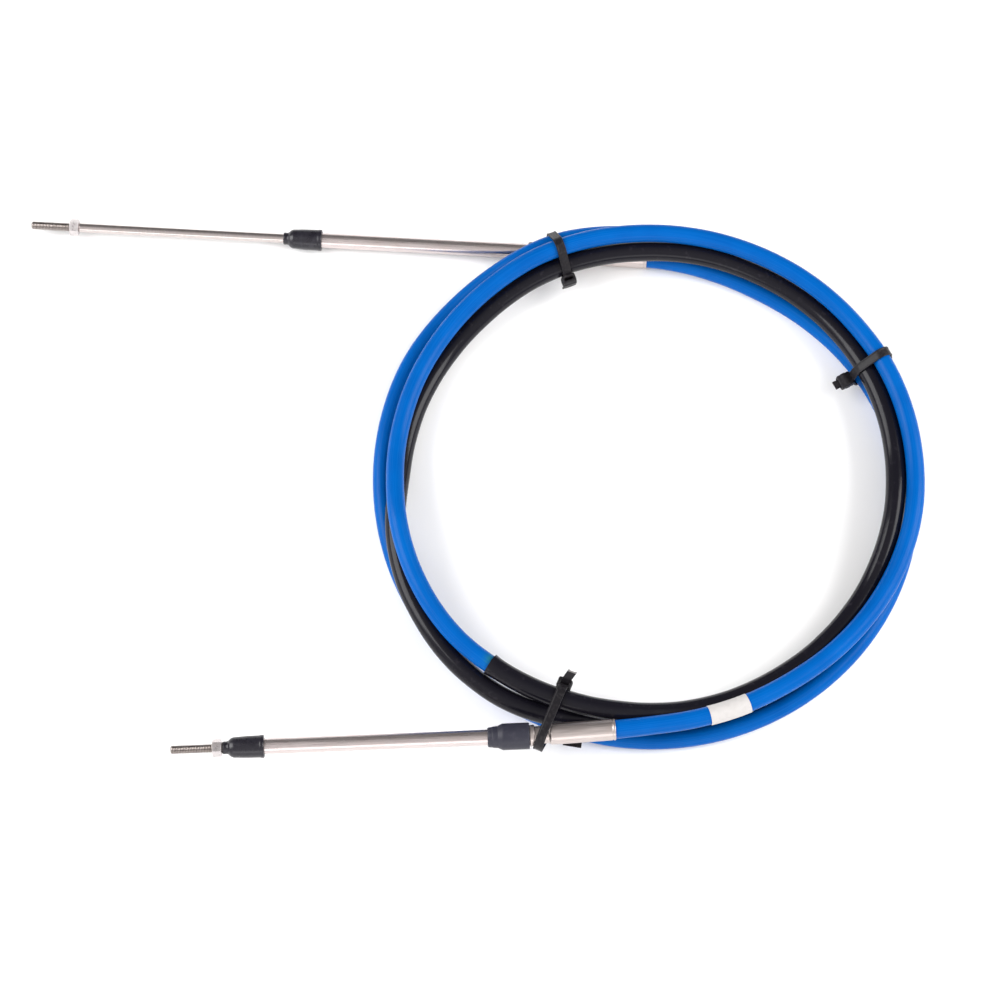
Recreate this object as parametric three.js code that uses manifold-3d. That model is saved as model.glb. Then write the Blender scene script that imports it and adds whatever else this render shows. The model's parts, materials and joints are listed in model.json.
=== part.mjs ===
// A push-pull steering cable for a small boat, coiled and tied for storage. Millimetres, +Z up.
// A jacketed conduit lies in three and a half turns, with a protective sleeve over one and a half
// of them. Each end has a crimped hub, a support tube that swivels in it, and a threaded rod.
import * as THREE from "three";
import Module from "manifold-3d";
import { mergeVertices } from "three/addons/utils/BufferGeometryUtils.js";

// Conduit and sleeve
const conduitDiameter = 9.5;
const sleeveClearance = 0.3;
const sleeveWall = 0.35;
const labelClearance = 0.2;
const labelWall = 0.2;
const cableSides = 12;
const stationStep = 10; // degrees of the coil between two sections of the tubes
const sleeveStart = 330; // degrees along the coil from the upper hub's mouth
const sleeveSteps = 55;
const labelStart = 20;
const labelSteps = 1;

// End fittings, lengths along the fitting from the hub's mouth
const seatGap = 0.3;
const hubDiameter = 10.8;
const hubLength = 43.5;
const hubFlange = 2.4;
const hubWaist = 7;
const waistDepth = 0.9;
const hubDome = 0.8;
const hubTipDiameter = 3;
const tubeDiameter = 8;
const tubeWall = 1.2;
const tubeLength = 147;
const bootDiameter = 13.5;
const bootNeckDiameter = 10.6;
const bootLength = 20.2;
const bootBody = 13.6;
const sealDiameter = 10.2;
const sealTailDiameter = 12;
const sealLength = 17.6;
const sealNeckDiameter = 6.7;
const sealNeck = 3.4;
const sealGrip = 14;
const rodDiameter = 5;
const rodLength = 128;
const stroke = 112;
const threadDiameter = 4.8;
const threadLength = 26;
const threadChamfer = 0.7;
const nutAcross = 8;
const nutThickness = 5;
const roundSides = 24;

// Ties: angles in degrees of the coil, and heights of the heads above the floor. The top strap
// goes round what lies higher than topStrapFrom, and the right one is slack, so that its head
// stands off the cable with its length across the coil.
const tieWidth = 4.8;
const tieThickness = 1.2;
const tieSlack = 0.35;
const headHeight = 7.5;
const headDepth = 5;
const headWidth = 7.4;
const tailLength = 6;
const strapSides = 48;
const topTieAngle = 110.5;
const topHeadAt = 17;
const topStrapFrom = 10;
const rightTieAngle = 27;
const rightHeadAt = 12;
const rightHeadOff = 1.5;
const cutTail = 3;
const strapBend = 0.6;
const bottomTieAngle = 248.5;
const bottomHeadAt = 27;

// Where each end lies, in degrees: the turn of the support tube from the hub's own line, and the
// turn of the nut's corners from the vertical
const topSwivel = 1.1;
const bottomSwivel = -2;
const topNutTurn = 12;
const bottomNutTurn = 26;

// The lay of the cable, chosen by hand: degrees round the coil from +X, distance from the coil's
// axis, and height of the cable's middle above the floor. It runs from the upper hub, on top of
// the pile, to the lower hub, which lies on the floor beneath it.
const lay = [
  [261.6, 141.9, 28.5], [264.5, 140.3, 28.5], [270, 138.0, 28.4], [278, 136.3, 27.5],
  [285, 135.3, 26.5], [300, 134.3, 25.2], [315, 135.5, 24.5], [330, 137.4, 25.0],
  [340, 138.4, 27.2], [348, 138.9, 28.5], [354, 139.0, 28.0], [360, 138.9, 27.1],
  [370, 138.8, 26.5], [382, 138.8, 25.6], [395, 138.0, 24.4], [410, 137.0, 24.6],
  [430, 135.0, 25.6], [450, 133.4, 26.8], [465, 132.7, 28.3], [475, 132.6, 28.5],
  [487, 132.9, 24.4], [500, 133.5, 19.3], [512, 133.6, 17.4], [527, 133.4, 17.4],
  [541, 133.4, 21.3], [547, 133.8, 24.1], [553, 134.4, 25.8], [563, 135.2, 25.4],
  [574, 135.6, 23.9], [583, 135.2, 22.6], [593, 133.6, 22.2], [602, 132.8, 23.0],
  [611, 132.0, 24.5], [619, 131.4, 24.6], [627, 130.5, 22.2], [635, 129.6, 18.9],
  [645, 128.9, 17.0], [660, 128.2, 16.6], [675, 128.4, 16.7], [690, 129.0, 17.6],
  [699, 129.2, 21.2], [706, 129.3, 23.5], [712, 129.3, 24.0], [718, 129.4, 22.9],
  [723, 129.6, 21.8], [732, 130.0, 20.8], [742, 130.6, 19.0], [751, 130.8, 17.6],
  [765, 130.5, 16.2], [780, 129.4, 16.0], [795, 128.0, 17.6], [810, 126.5, 18.2],
  [825, 126.0, 18.9], [832, 126.0, 18.7], [840, 126.3, 16.6], [855, 127.3, 9.6], [870, 128.6, 6.0],
  [885, 129.8, 6.4], [893, 130.4, 8.0], [901, 131.6, 10.7], [912, 136.2, 15.2],
  [923, 139.7, 15.4], [934, 141.8, 15.4], [943, 143.2, 15.2], [953, 143.5, 15.6],
  [961, 142.6, 16.6], [970, 139.4, 16.6], [978, 135.2, 14.3], [986, 132.0, 11.0],
  [995, 130.2, 7.5], [1005, 129.8, 5.7], [1035, 129.7, 5.6], [1052, 129.8, 6.0],
  [1061, 130.8, 10.2], [1069, 134.0, 13.6], [1077, 137.6, 15.5], [1085, 139.0, 15.6],
  [1094, 139.5, 14.9], [1102, 140.1, 12.8], [1111, 140.5, 8.8], [1119, 140.4, 6.2],
  [1130, 140.1, 5.5], [1150, 139.9, 5.5], [1168, 140.2, 7.2], [1180, 139.6, 15.0],
  [1188, 139.2, 20.2], [1193, 139.1, 21.0], [1199, 139.3, 19.4], [1207, 140.6, 13.4],
  [1218, 142.3, 6.5], [1230, 143.0, 4.8], [1245, 142.0, 4.8], [1262, 141.0, 4.8],
  [1290, 140.6, 4.8], [1310, 140.6, 5.0], [1326, 140.6, 6.5], [1342, 140.6, 5.0],
  [1360, 140.6, 4.8], [1380, 140.6, 4.8], [1410, 140.5, 4.8], [1428, 139.9, 4.8],
  [1440, 138.4, 4.8], [1452, 134.6, 5.2], [1462, 132.0, 6.0], [1470, 130.0, 6.4],
  [1485, 127.2, 5.0], [1500, 125.1, 4.8], [1510, 125.0, 5.4], [1519, 125.4, 6.75],
  [1529.6, 127.0, 6.75],
];

const sleeveDiameter = conduitDiameter + 2 * (sleeveClearance + sleeveWall);
const coilStart = lay[0][0];
const coilEnd = lay[lay.length - 1][0];
const pivotAt = hubLength + seatGap;
const sealAt = pivotAt + tubeLength - sealGrip;
const sealEnd = sealAt + sealLength + sealNeck;
const deg = THREE.MathUtils.degToRad;

// A value of the lay at an angle: a cubic between two stations, level at a crest or a trough.
function layValue(angle, column) {
  const slope = (i) => {
    const a = lay[Math.max(i - 1, 0)];
    const b = lay[Math.min(i + 1, lay.length - 1)];
    const inside = i > 0 && i < lay.length - 1;
    const turns = (lay[i][column] - a[column]) * (b[column] - lay[i][column]) <= 0;
    return inside && turns ? 0 : (b[column] - a[column]) / (b[0] - a[0]);
  };
  let i = 0;
  while (i < lay.length - 2 && lay[i + 1][0] <= angle) i++;
  const span = lay[i + 1][0] - lay[i][0];
  const u = (angle - lay[i][0]) / span;
  return (
    lay[i][column] * (1 + 2 * u) * (1 - u) ** 2 +
    slope(i) * span * u * (1 - u) ** 2 +
    lay[i + 1][column] * u * u * (3 - 2 * u) +
    slope(i + 1) * span * u * u * (u - 1)
  );
}

// A stretch of the cable's middle line. Its sections stand at equal angles of the coil, so that
// the sleeve's sections fall on the conduit's.
class Stretch extends THREE.Curve {
  constructor(from, to) {
    super();
    this.from = from;
    this.to = to;
  }
  getPoint(t, target = new THREE.Vector3()) {
    const angle = THREE.MathUtils.clamp(this.from + (this.to - this.from) * t, coilStart, coilEnd);
    const radius = layValue(angle, 1);
    return target.set(
      radius * Math.cos(deg(angle)), radius * Math.sin(deg(angle)), layValue(angle, 2));
  }
  getUtoTmapping(u) {
    return u;
  }
}

// A regular outline of the cable's section, as a list of points.
const ring = (radius) =>
  Array.from({ length: cableSides }, (_, i) => {
    const a = (2 * Math.PI * i) / cableSides;
    return new THREE.Vector2(radius * Math.cos(a), radius * Math.sin(a));
  });

// A tube along the lay, solid or hollow.
function cableTube(outer, inner, from, to, steps) {
  const section = new THREE.Shape(ring(outer / 2));
  if (inner) section.holes.push(new THREE.Path(ring(inner / 2)));
  return new THREE.ExtrudeGeometry(section, { steps, extrudePath: new Stretch(from, to) });
}

// A turned piece about its own X axis. The profile lists [distance along, radius].
function turned(profile, sides = roundSides) {
  const points = profile.map(([along, radius]) => new THREE.Vector2(radius, along));
  return new THREE.LatheGeometry(points, sides).rotateZ(-Math.PI / 2);
}

const finish = (color, roughness, metalness) =>
  new THREE.MeshStandardMaterial({ color, roughness, metalness });
const finishes = {
  jacket: finish(0x0a62cf, 0.35, 0),
  sleeve: finish(0x1c1a1e, 0.3, 0),
  steel: finish(0xb4aaa6, 0.3, 1),
  nut: finish(0xd0cdc8, 0.25, 1),
  rubber: finish(0x26262e, 0.7, 0),
  nylon: finish(0x17171a, 0.5, 0),
  label: finish(0xeeecea, 0.6, 0),
};

const piece = (name, geometry, material) => {
  const mesh = new THREE.Mesh(geometry, material);
  mesh.name = name;
  return mesh;
};

const part = new THREE.Group();
const coil = new THREE.Group();
part.add(coil);

// Conduit, sleeve and label
const conduitSteps = Math.round((coilEnd - coilStart) / stationStep);
const station = (coilEnd - coilStart) / conduitSteps;
coil.add(piece("conduit",
  cableTube(conduitDiameter, 0, coilStart, coilEnd, conduitSteps), finishes.jacket));
const sleeveFrom = coilStart + Math.round(sleeveStart / station) * station;
coil.add(piece("protective_sleeve",
  cableTube(sleeveDiameter, conduitDiameter + 2 * sleeveClearance, sleeveFrom,
    sleeveFrom + sleeveSteps * station, sleeveSteps), finishes.sleeve));
const labelFrom = coilStart + Math.round(labelStart / station) * station;
const labelBore = conduitDiameter + 2 * labelClearance;
coil.add(piece("label_band",
  cableTube(labelBore + 2 * labelWall, labelBore, labelFrom,
    labelFrom + labelSteps * station, labelSteps), finishes.label));

// One end: a group at the conduit's end that looks along the hub, away from the cable. The tube
// group turns in it at the hub's tip, and the rod group slides in the tube.
function endFitting(side, mouth, outward, swivel, extended, nutTurn) {
  const end = new THREE.Group();
  end.position.copy(mouth);
  end.rotation.z = Math.atan2(outward.y, outward.x);

  const hubRadius = hubDiameter / 2;
  const waistRadius = hubRadius - waistDepth;
  const flangeAt = hubLength - hubDome - hubFlange;
  const waistAt = flangeAt - hubWaist;
  end.add(piece(`${side}_hub`, turned([
    [seatGap, 0], [seatGap, hubRadius - hubDome], [seatGap + hubDome, hubRadius],
    [waistAt - waistDepth, hubRadius], [waistAt, waistRadius], [flangeAt, waistRadius],
    [flangeAt, hubRadius], [hubLength - hubDome, hubRadius],
    [hubLength, hubTipDiameter / 2], [hubLength, 0],
  ]), finishes.steel));

  const swing = new THREE.Group();
  swing.position.x = pivotAt;
  swing.rotation.z = deg(swivel);
  end.add(swing);

  const tubeRadius = tubeDiameter / 2;
  const bore = tubeRadius - tubeWall;
  swing.add(piece(`${side}_support_tube`, turned([
    [0, bore], [0, tubeRadius], [tubeLength, tubeRadius], [tubeLength, bore], [0, bore],
  ]), finishes.steel));

  const bootBore = tubeRadius + seatGap;
  const bootRadius = bootDiameter / 2;
  const neckRadius = bootNeckDiameter / 2;
  swing.add(piece(`${side}_boot`, turned([
    [0, bootBore], [0, bootRadius - waistDepth], [waistDepth, bootRadius],
    [bootBody - waistDepth, bootRadius], [bootBody, neckRadius + waistDepth],
    [bootBody + waistDepth, neckRadius], [bootLength, neckRadius], [bootLength, bootBore],
    [0, bootBore],
  ]), finishes.rubber));

  const sealStart = sealAt - pivotAt;
  const sealTube = tubeLength + seatGap;
  const sealNeckStart = sealStart + sealLength;
  const sealBore = rodDiameter / 2 + seatGap;
  swing.add(piece(`${side}_seal`, turned([
    [sealStart, bootBore], [sealStart, sealTailDiameter / 2], [sealNeckStart - waistDepth,
      sealDiameter / 2], [sealNeckStart, sealDiameter / 2 - waistDepth],
    [sealNeckStart, sealNeckDiameter / 2], [sealNeckStart + sealNeck, sealNeckDiameter / 2],
    [sealNeckStart + sealNeck, sealBore], [sealTube, sealBore], [sealTube, bootBore],
    [sealStart, bootBore],
  ]), finishes.rubber));

  const slide = new THREE.Group();
  slide.position.x = sealEnd - pivotAt + seatGap + extended;
  swing.add(slide);

  const threadRadius = threadDiameter / 2;
  slide.add(piece(`${side}_rod`, turned([
    [-rodLength, 0], [-rodLength, rodDiameter / 2], [-seatGap, rodDiameter / 2],
    [-seatGap, threadRadius], [threadLength - threadChamfer, threadRadius],
    [threadLength, threadRadius - threadChamfer], [threadLength, 0],
  ]), finishes.steel));

  const cornerRadius = nutAcross / 2 / Math.cos(Math.PI / 6);
  const hexagon = new THREE.Shape(Array.from({ length: 6 }, (_, i) => {
    const corner = deg(nutTurn + 60 * i);
    return new THREE.Vector2(cornerRadius * Math.cos(corner), cornerRadius * Math.sin(corner));
  }));
  hexagon.holes.push(new THREE.Path().absarc(0, 0, threadRadius + seatGap, 0, 2 * Math.PI));
  slide.add(piece(`${side}_nut`,
    new THREE.ExtrudeGeometry(hexagon, {
      depth: nutThickness, bevelEnabled: false, curveSegments: roundSides / 2,
    }).rotateY(Math.PI / 2), finishes.nut));
  return end;
}

const whole = new Stretch(coilStart, coilEnd);
const level = (v) => v.setZ(0).normalize();
const upperMouth = whole.getPoint(0);
const upperOutward = level(whole.getTangent(0)).negate();
const lowerMouth = whole.getPoint(1);
const lowerOutward = level(whole.getTangent(1));
coil.add(endFitting("bottom", upperMouth, upperOutward, bottomSwivel, 0,
  bottomNutTurn));
coil.add(endFitting("top", lowerMouth, lowerOutward, topSwivel, stroke, topNutTurn));

// Booleans
const wasm = await Module();
wasm.setup();

function solid(geometry) {
  const bare = geometry.index ? geometry.toNonIndexed() : geometry.clone();
  bare.deleteAttribute("normal");
  bare.deleteAttribute("uv");
  const merged = mergeVertices(bare, 1e-4);
  return new wasm.Manifold(new wasm.Mesh({
    numProp: 3,
    vertProperties: merged.attributes.position.array,
    triVerts: new Uint32Array(merged.index.array),
  }));
}

function geometryOf(body) {
  const mesh = body.getMesh();
  const geometry = new THREE.BufferGeometry();
  geometry.setAttribute("position", new THREE.BufferAttribute(mesh.vertProperties, 3));
  geometry.setIndex(new THREE.BufferAttribute(mesh.triVerts, 1));
  return geometry;
}

// The strands that pass a section of the coil, as circles [distance from the axis, height, radius].
// The tubes are straight between their own sections, and so is the middle that is measured here.
function strandsAt(angle) {
  const found = [];
  const first = angle + 360 * Math.ceil((coilStart - angle) / 360);
  for (let a = first; a <= coilEnd; a += 360) {
    const before = coilStart + Math.floor((a - coilStart) / station) * station;
    const after = Math.min(before + station, coilEnd);
    const [near, far] = [layValue(before, 1), layValue(after, 1)];
    const nearPull = near * Math.sin(deg(a - before));
    const farPull = far * Math.sin(deg(after - a));
    const distance = (near * far * Math.sin(deg(after - before))) / (nearPull + farPull);
    const share = nearPull / (nearPull + farPull);
    const height = layValue(before, 2) * (1 - share) + layValue(after, 2) * share;
    const sleeved = a >= sleeveFrom && a <= sleeveFrom + sleeveSteps * station;
    found.push([distance, height, (sleeved ? sleeveDiameter : conduitDiameter) / 2]);
  }
  return found;
}

// The outline that a strap takes round a set of circles, at a distance from them.
function hull(circles, distance) {
  return Array.from({ length: strapSides }, (_, i) => {
    const a = (2 * Math.PI * i) / strapSides;
    const n = new THREE.Vector2(Math.cos(a), Math.sin(a));
    const reach = ([x, y, r]) => x * n.x + y * n.y + r;
    const [x, y, r] = circles.reduce((best, c) => (reach(c) > reach(best) ? c : best));
    return new THREE.Vector2(x, y).addScaledVector(n, r + distance);
  });
}

// A tie: a strap round the strands at an angle of the coil that lie higher than a height, with
// its head and cut tail on the inner side. The geometry is made in the plane of the section. A
// slack strap comes to a point where its head stands off, and a tight one carries it flat.
function tie(angle, { others = [], from = 0, headAt, tailUp = 1, headOff = 0 }) {
  const strapAngle = THREE.MathUtils.radToDeg(tieWidth / 2 / layValue(coilStart, 1));
  const circles = [angle - strapAngle, angle, angle + strapAngle].flatMap(strandsAt);
  circles.push(...others);
  const wanted = circles.filter(([, height]) => height > from);
  const nearest = Math.min(...wanted.map(([x, , r]) => x - r));
  if (headOff) wanted.push([nearest - headOff, headAt, strapBend]);
  const inner = (headOff ? nearest - headOff - strapBend : nearest) - tieSlack - tieThickness;
  const strap = new THREE.Shape(hull(wanted, tieSlack + tieThickness));
  strap.holes.push(new THREE.Path(hull(wanted, tieSlack)));
  const band = new THREE.ExtrudeGeometry(strap, { depth: tieWidth, bevelEnabled: false })
    .translate(0, 0, -tieWidth / 2);
  const head = headOff
    ? new THREE.BoxGeometry(headHeight, headDepth, headWidth)
      .translate(inner + tieThickness - headHeight / 2, headAt, 0)
    : new THREE.BoxGeometry(headDepth, headHeight, headWidth)
      .translate(inner + tieThickness / 2 - headDepth / 2, headAt, 0);
  const tail = headOff
    ? new THREE.BoxGeometry(2 * cutTail, tieThickness, tieWidth)
      .translate(inner + tieThickness - headHeight, headAt, 0)
    : new THREE.BoxGeometry(tieThickness, tailLength, tieWidth)
      .translate(inner - headDepth / 2, headAt + tailUp * (headHeight + tailLength) / 2
        - tailUp * tieThickness, 0);
  const joined = solid(band).add(solid(head)).add(solid(tail));
  return geometryOf(joined).rotateX(Math.PI / 2).rotateZ(deg(angle));
}

// The bottom hub's section in the plane of its tie, as circles along the strap's width.
function hubCircles(angle) {
  const away = new THREE.Vector3(Math.cos(deg(angle)), Math.sin(deg(angle)), 0);
  const across = new THREE.Vector3(-away.y, away.x, 0);
  const slant = Math.abs(upperOutward.dot(across));
  return [-1, 0, 1].map((k) => {
    const along = (k * tieWidth / 2 - upperMouth.dot(across)) / upperOutward.dot(across);
    const middle = upperMouth.clone().addScaledVector(upperOutward, along);
    return [middle.dot(away), middle.z, hubDiameter / 2 / slant];
  });
}

const topTie = tie(topTieAngle, { from: topStrapFrom, headAt: topHeadAt, tailUp: -1 });
const rightTie = tie(rightTieAngle, { headAt: rightHeadAt, headOff: rightHeadOff });
const bottomTie = tie(bottomTieAngle, {
  others: hubCircles(bottomTieAngle), headAt: bottomHeadAt,
});
coil.add(piece("top_tie", topTie, finishes.nylon));
coil.add(piece("right_tie", rightTie, finishes.nylon));
coil.add(piece("bottom_tie", bottomTie, finishes.nylon));

// The part's origin is the middle of the underside of its box.
part.updateMatrixWorld(true);
const box = new THREE.Box3().setFromObject(part, true);
coil.position.set(-(box.min.x + box.max.x) / 2, -(box.min.y + box.max.y) / 2, -box.min.z);

export default part;
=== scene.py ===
# %% [markdown]
# # A push-pull steering cable for a small boat
# The real thing is three metres of stiff plastic-jacketed conduit. It is coiled in three and a half
# turns, held by three nylon ties, with a black sleeve over the middle of its length. Each end has a
# steel hub, a support tube that swivels in a rubber boot, and a threaded rod that slides out of the
# tube. The solids already hold every place and size, so this script only dresses them: each new
# surface is worked out with numpy on a grid of two parameters, in metres.

# %% Load the frame
import json

import bpy
import numpy as np
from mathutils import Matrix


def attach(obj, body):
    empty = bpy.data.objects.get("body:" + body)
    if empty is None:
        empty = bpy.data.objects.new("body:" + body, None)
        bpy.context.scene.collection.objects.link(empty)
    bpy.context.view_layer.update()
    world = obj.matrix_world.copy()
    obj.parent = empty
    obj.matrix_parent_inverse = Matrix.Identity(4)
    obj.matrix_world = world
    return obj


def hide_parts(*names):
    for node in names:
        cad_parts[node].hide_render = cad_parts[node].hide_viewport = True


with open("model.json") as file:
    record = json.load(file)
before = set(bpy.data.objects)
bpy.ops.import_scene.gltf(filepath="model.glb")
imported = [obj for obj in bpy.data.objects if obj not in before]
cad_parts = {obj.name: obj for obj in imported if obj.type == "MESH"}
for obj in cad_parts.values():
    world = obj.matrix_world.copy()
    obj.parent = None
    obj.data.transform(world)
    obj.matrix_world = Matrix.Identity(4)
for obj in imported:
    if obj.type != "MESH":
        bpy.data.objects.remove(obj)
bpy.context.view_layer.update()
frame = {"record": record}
mm = 0.001

# %% [markdown]
# ## The camera
# The photograph looks steeply down on the coil from the front, from far enough away that the rings
# stay nearly round. A long lens at 1.4 m gives the same small change of scale from floor to top.

# %% Camera
aim = np.array([17.2, -5.8, 0.1]) * mm
rise = np.radians(72)
distance = 1.4
camera = bpy.data.objects.new("camera", bpy.data.cameras.new("camera"))
camera.data.sensor_fit = "HORIZONTAL"
camera.data.lens = 94.75
camera.location = aim + distance * np.array([0, -np.cos(rise), np.sin(rise)])
camera.rotation_euler = (np.pi / 2 - rise, 0, 0)
bpy.context.scene.collection.objects.link(camera)
bpy.context.scene.camera = camera
print("camera at", np.round(camera.location, 3).tolist())

# %% [markdown]
# ## The route of the cable
# A stiff conduit never lies in flat rings. It climbs over its own turns, dives under them and
# slides inwards near its end. The route is given as stations of the coil: an angle in
# degrees, the distance from the coil's axis and the height of the cable's middle, in millimetres.
# A smooth curve through them is enough, because the jacket hides everything else.

# %% Route
coil_axis = np.array([95.474, 2.397, 0.109]) * mm
lay = np.array([
    [261.6, 141.9, 28.5], [264.5, 140.3, 28.5], [270, 138.0, 28.4], [278, 136.3, 27.5],
    [285, 135.3, 26.5], [300, 134.3, 25.2], [315, 135.5, 24.5], [330, 137.4, 25.0],
    [340, 138.4, 27.2], [348, 138.9, 28.5], [354, 139.0, 28.0], [360, 138.9, 27.1],
    [370, 138.8, 26.5], [382, 138.8, 25.6], [395, 138.0, 24.4], [410, 137.0, 24.6],
    [430, 135.0, 25.6], [450, 133.4, 26.8], [465, 132.7, 28.3], [475, 132.6, 28.5],
    [487, 132.9, 24.4], [500, 133.5, 19.3], [512, 133.6, 17.4], [527, 133.4, 17.4],
    [541, 133.4, 21.3], [547, 133.8, 24.1], [553, 134.4, 25.8], [563, 135.2, 25.4],
    [574, 135.6, 23.9], [583, 135.2, 22.6], [593, 133.6, 22.2], [602, 132.8, 23.0],
    [611, 132.0, 24.5], [619, 131.4, 24.6], [627, 130.5, 22.2], [635, 129.6, 18.9],
    [645, 128.9, 17.0], [660, 128.2, 16.6], [675, 128.4, 16.7], [690, 129.0, 17.6],
    [699, 129.2, 21.2], [706, 129.3, 23.5], [712, 129.3, 24.0], [718, 129.4, 22.9],
    [723, 129.6, 21.8], [732, 130.0, 20.8], [742, 130.6, 19.0], [751, 130.8, 17.6],
    [765, 130.5, 16.2], [780, 129.4, 16.0], [795, 128.0, 17.6], [810, 126.5, 18.2],
    [825, 126.0, 18.9], [832, 126.0, 18.7], [840, 126.3, 16.6], [855, 127.3, 9.6],
    [870, 128.6, 6.0], [885, 129.8, 6.4], [893, 130.4, 8.0], [901, 131.6, 10.7],
    [912, 136.2, 15.2], [923, 139.7, 15.4], [934, 141.8, 15.4], [943, 143.2, 15.2],
    [953, 143.5, 15.6], [961, 142.6, 16.6], [970, 139.4, 16.6], [978, 135.2, 14.3],
    [986, 132.0, 11.0], [995, 130.2, 7.5], [1005, 129.8, 5.7], [1035, 129.7, 5.6],
    [1052, 129.8, 6.0], [1061, 130.8, 10.2], [1069, 134.0, 13.6], [1077, 137.6, 15.5],
    [1085, 139.0, 15.6], [1094, 139.5, 14.9], [1102, 140.1, 12.8], [1111, 140.5, 8.8],
    [1119, 140.4, 6.2], [1130, 140.1, 5.5], [1150, 139.9, 5.5], [1168, 140.2, 7.2],
    [1180, 139.6, 15.0], [1188, 139.2, 20.2], [1193, 139.1, 21.0], [1199, 139.3, 19.4],
    [1207, 140.6, 13.4], [1218, 142.3, 6.5], [1230, 143.0, 4.8], [1245, 142.0, 4.8],
    [1262, 141.0, 4.8], [1290, 140.6, 4.8], [1310, 140.6, 5.0], [1326, 140.6, 6.5],
    [1342, 140.6, 5.0], [1360, 140.6, 4.8], [1380, 140.6, 4.8], [1410, 140.5, 4.8],
    [1428, 139.9, 4.8], [1440, 138.4, 4.8], [1452, 134.6, 5.2], [1462, 132.0, 6.0],
    [1470, 130.0, 6.4], [1485, 127.2, 5.0], [1500, 125.1, 4.8], [1510, 125.0, 5.4],
    [1519, 125.4, 6.75], [1529.6, 127.0, 6.75],
])


def carried(angle, column):
    """Cubic between two stations: v0 (1+2u)(1-u)^2 + m0 h u(1-u)^2 + v1 u^2(3-2u) + m1 h u^2(u-1),
    with u the share of the span h. A slope m is the chord of the two neighbours, and 0 at a crest
    or a trough."""
    k, v = lay[:, 0], lay[:, column]
    m = np.gradient(v, k)
    m[1:-1] = (v[2:] - v[:-2]) / (k[2:] - k[:-2])
    m[1:-1][(v[1:-1] - v[:-2]) * (v[2:] - v[1:-1]) <= 0] = 0
    i = np.clip(np.searchsorted(k, angle, side="right") - 1, 0, len(k) - 2)
    h = k[i + 1] - k[i]
    u = (angle - k[i]) / h
    return (v[i] * (1 + 2 * u) * (1 - u) ** 2 + m[i] * h * u * (1 - u) ** 2
            + v[i + 1] * u * u * (3 - 2 * u) + m[i + 1] * h * u * u * (u - 1))


def softened(values, half):
    """A moving average with a raised-cosine window of 2 half + 1 samples. The ends are mirrored
    through their last value, so they keep their place."""
    window = np.hanning(2 * half + 3)[1:-1]
    padded = np.concatenate([2 * values[0] - values[half:0:-1], values,
                             2 * values[-1] - values[-2:-half - 2:-1]])
    return np.convolve(padded, window / window.sum(), "valid")


samples, soft_half = 1692, 5
turn = np.linspace(lay[0, 0], lay[-1, 0], samples)
reach, height = softened(carried(turn, 1), soft_half), softened(carried(turn, 2), soft_half)
route = coil_axis + mm * np.stack(
    [reach * np.cos(np.radians(turn)), reach * np.sin(np.radians(turn)), height], axis=1)
along = np.concatenate([[0], np.cumsum(np.linalg.norm(np.diff(route, axis=0), axis=1))])
print(f"route: {along[-1]:.3f} m in {(turn[-1] - turn[0]) / 360:.2f} turns")

# %% [markdown]
# ## Surfaces from grids
# Nearly every piece here is a grid of points P[i, j]: i runs along it and j runs round it. One
# helper turns such a grid into a closed mesh, so no piece needs its own mesh code. It also keeps
# the distance along and round the surface as a UV map, in metres, for drawing marks and streaks.

# %% Surface helper
def surface(name, grid, loop=False, sharp=40):
    """A mesh of the quads P[i,j], P[i,j+1], P[i+1,j+1], P[i+1,j], closed round j. With loop it also
    closes along i, like a ring, and otherwise each end gets one flat cap. UV = (s, w): s is the
    distance along the rows and w the share of the way round times the mean girth."""
    rows, cols = grid.shape[:2]
    i = np.arange(rows if loop else rows - 1)[:, None]
    j = np.arange(cols)[None, :]
    down, right = (i + 1) % rows, (j + 1) % cols
    quads = np.stack([i * cols + j, i * cols + right, down * cols + right, down * cols + j],
                     axis=-1)
    faces = quads.reshape(-1, 4).tolist()
    if not loop:
        faces += [list(range(cols))[::-1], list(range((rows - 1) * cols, rows * cols))]
    mesh = bpy.data.meshes.new(name)
    mesh.from_pydata(grid.reshape(-1, 3), [], faces)
    closed = np.concatenate([grid, grid[:1]]) if loop else grid
    steps = np.linalg.norm(np.diff(closed, axis=0), axis=2).mean(axis=1)
    s = np.concatenate([[0], np.cumsum(steps)])
    girth = np.linalg.norm(np.diff(np.concatenate([grid, grid[:, :1]], axis=1), axis=1), axis=2)
    w = np.arange(cols + 1) / cols * girth.sum(axis=1).mean()
    a, b = np.broadcast_arrays(i, j)
    corner_s = np.stack([s[a], s[a], s[a + 1], s[a + 1]], axis=-1)
    corner_w = np.stack([w[b], w[b + 1], w[b + 1], w[b]], axis=-1)
    uv = np.stack([corner_s, corner_w], axis=-1).reshape(-1, 2)
    uv = np.concatenate([uv, np.zeros((len(mesh.loops) - len(uv), 2))])
    mesh.uv_layers.new(name="surface").data.foreach_set("uv", uv.ravel())
    mesh.polygons.foreach_set("use_smooth", np.ones(len(mesh.polygons), dtype=bool))
    mesh.set_sharp_from_angle(angle=np.radians(sharp))
    mesh.validate()
    piece = bpy.data.objects.new(name, mesh)
    bpy.context.scene.collection.objects.link(piece)
    print(f"{name}: {len(mesh.polygons)} faces")
    return piece


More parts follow.
